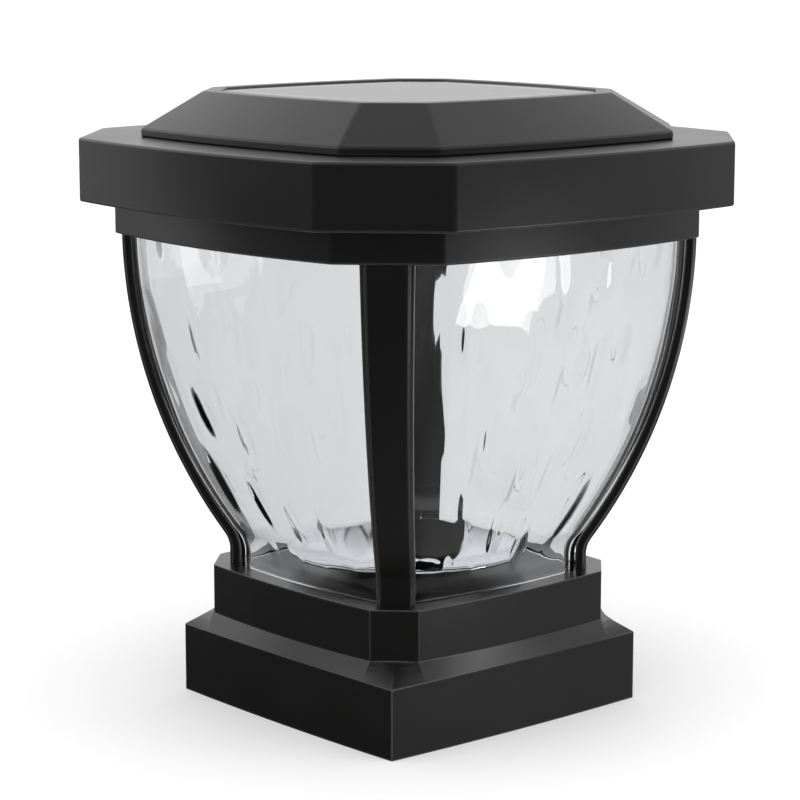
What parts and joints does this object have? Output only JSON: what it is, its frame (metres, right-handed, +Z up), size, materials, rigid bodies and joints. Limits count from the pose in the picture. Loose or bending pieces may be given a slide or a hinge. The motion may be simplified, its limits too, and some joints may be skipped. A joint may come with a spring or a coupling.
{
  "type": "deck post cap light",
  "caption": "Square solar post cap light with a bowed octagonal roof, clear rippled glass globe held by corner ribs, and a tiered base that drops over a timber post.",
  "frame": {"origin": "middle of the skirt's lower edge, where the light's lowest face is", "axes": "+Z up; the light's four faces are square to X and Y, its corner ribs stand on the diagonals"},
  "size_m": [0.1708, 0.1708, 0.1859],
  "materials": {
    "satin_black": "satin charcoal black, very fine grain",
    "moulded_black": "moulded, matt",
    "moulded_white": "moulded, matt",
    "clear_glass": "clear water glass with long upright ripples",
    "clear_lens": "clear, domed",
    "panel_cover": "clear cover over the cells",
    "black_rubber": "soft black",
    "zinc_steel": "zinc plated",
    "chrome_dish": "polished",
    "board_green": "coated board",
    "solar_silicon": "dark blue cell strips with fine silver lines",
    "led_board": "white coated aluminium",
    "led_yellow": "phosphor",
    "cell_wrap": "plain shrink wrap"
  },
  "bodies": {
    "root": {"base_cap": "satin_black", "lantern_frame": "satin_black", "glass_globe": "clear_glass", "globe_foot_gasket": "black_rubber", "globe_top_gasket": "black_rubber", "roof_gasket": "black_rubber", "rib_screws": "zinc_steel", "reflector_dish": "chrome_dish", "reflector_screw": "zinc_steel"},
    "roof": {"roof_rim": "satin_black", "solar_hood": "satin_black", "panel_seal": "black_rubber", "panel_backing": "board_green", "solar_cells": "solar_silicon", "panel_cover": "panel_cover", "roof_tray": "moulded_black", "roof_screws": "zinc_steel", "lamp_lens": "clear_lens", "led_board": "led_board", "led_chip": "led_yellow", "battery_bay": "moulded_black", "battery_cell_1": "cell_wrap", "battery_cell_2": "cell_wrap", "battery_plates": "zinc_steel", "battery_springs": "zinc_steel", "circuit_board": "board_green", "board_screws": "zinc_steel", "driver_parts": "moulded_black", "switch_body": "zinc_steel"},
    "battery_door": {"battery_door": "moulded_black"},
    "switch_knob": {"switch_knob": "moulded_white"}
  },
  "joints": [
    {"name": "roof_lift", "type": "slide", "parent": "root", "child": "roof", "axis": [0, 0, 1], "range_m": [0, 0.06]},
    {"name": "battery_door_hinge", "type": "hinge", "parent": "roof", "child": "battery_door", "pos_m": [0, -0.0531, 0.1583], "axis": [-1, 0, 0], "range_deg": [0, 95]},
    {"name": "switch_slide", "type": "slide", "parent": "roof", "child": "switch_knob", "axis": [1, 0, 0], "range_m": [0, 0.004]}
  ]
}
